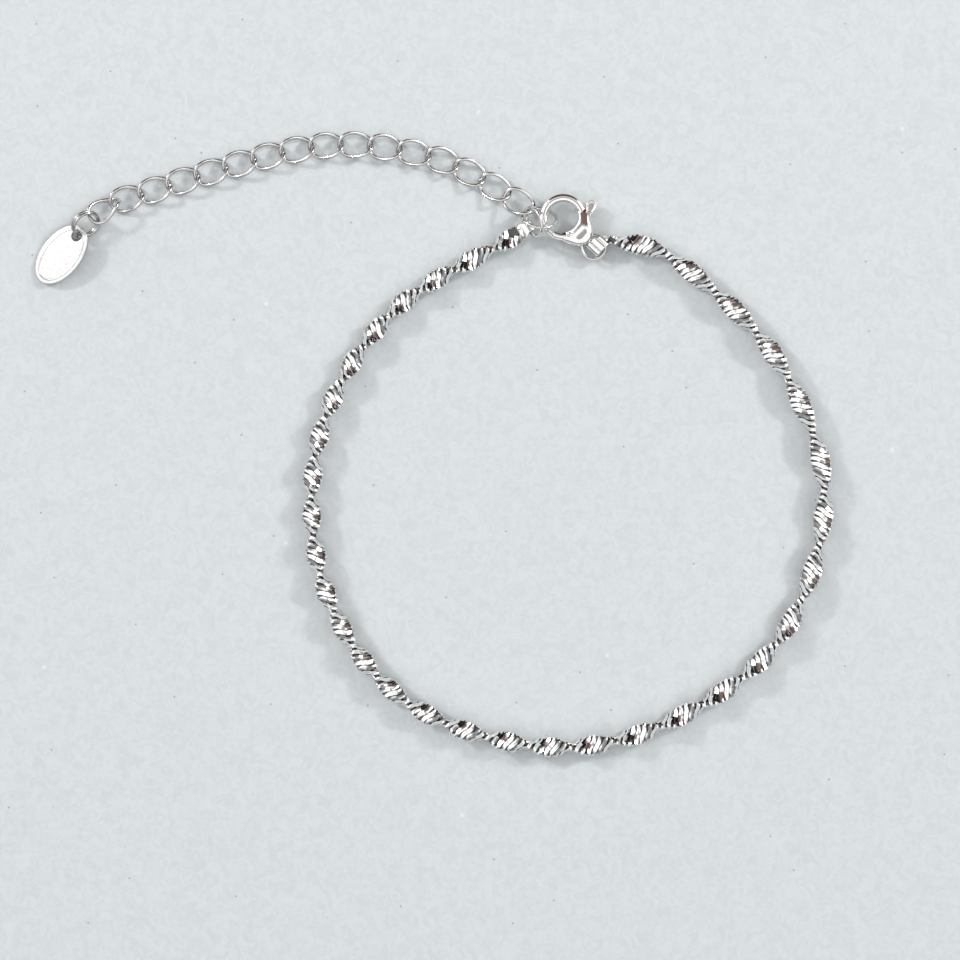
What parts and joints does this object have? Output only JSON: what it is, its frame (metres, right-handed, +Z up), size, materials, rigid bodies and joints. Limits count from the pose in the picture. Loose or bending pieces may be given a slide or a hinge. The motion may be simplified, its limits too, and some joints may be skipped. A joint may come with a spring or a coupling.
{
  "type": "bracelet",
  "caption": "Silver bracelet: a twisted serpentine chain closed by a lever clasp, with an extension chain of oval links and an oval tag.",
  "frame": {"origin": "on the floor, in the middle of the closed bracelet's footprint", "axes": "+X from the tag across the loop to its far side, along the longest extent; +Y from the loop towards the clasp; +Z up, away from the floor, along the shortest extent"},
  "size_m": [0.0836, 0.0656, 0.004],
  "materials": {
    "silver_chain": "polished sterling silver, ribbed",
    "silver_links": "polished sterling silver wire",
    "silver_fittings": "polished sterling silver",
    "silver_tag": "polished sterling silver, plain face"
  },
  "bodies": {
    "root": {"twisted_chain": "silver_chain", "end_cap_left": "silver_fittings", "end_cap_right": "silver_fittings", "clasp_body": "silver_fittings", "tag": "silver_tag", "tag_ring": "silver_fittings", "extension_ring": "silver_fittings", "hook_ring": "silver_fittings", "clasp_ring": "silver_fittings", "extension_link_01": "silver_links", "extension_link_02": "silver_links", "extension_link_03": "silver_links", "extension_link_04": "silver_links", "extension_link_05": "silver_links", "extension_link_06": "silver_links", "extension_link_07": "silver_links", "extension_link_08": "silver_links", "extension_link_09": "silver_links", "extension_link_10": "silver_links", "extension_link_11": "silver_links", "extension_link_12": "silver_links", "extension_link_13": "silver_links", "extension_link_14": "silver_links", "extension_link_15": "silver_links", "extension_link_16": "silver_links"},
    "lever": {"clasp_lever": "silver_fittings"}
  },
  "joints": [
    {"name": "clasp_lever_hinge", "type": "hinge", "parent": "root", "child": "lever", "pos_m": [0.01408, 0.02185, 0.00105], "axis": [0, 0, 1], "range_deg": [-20, 0], "stiffness_Nm_per_rad": 0.002, "springref_deg": 11.46}
  ]
}
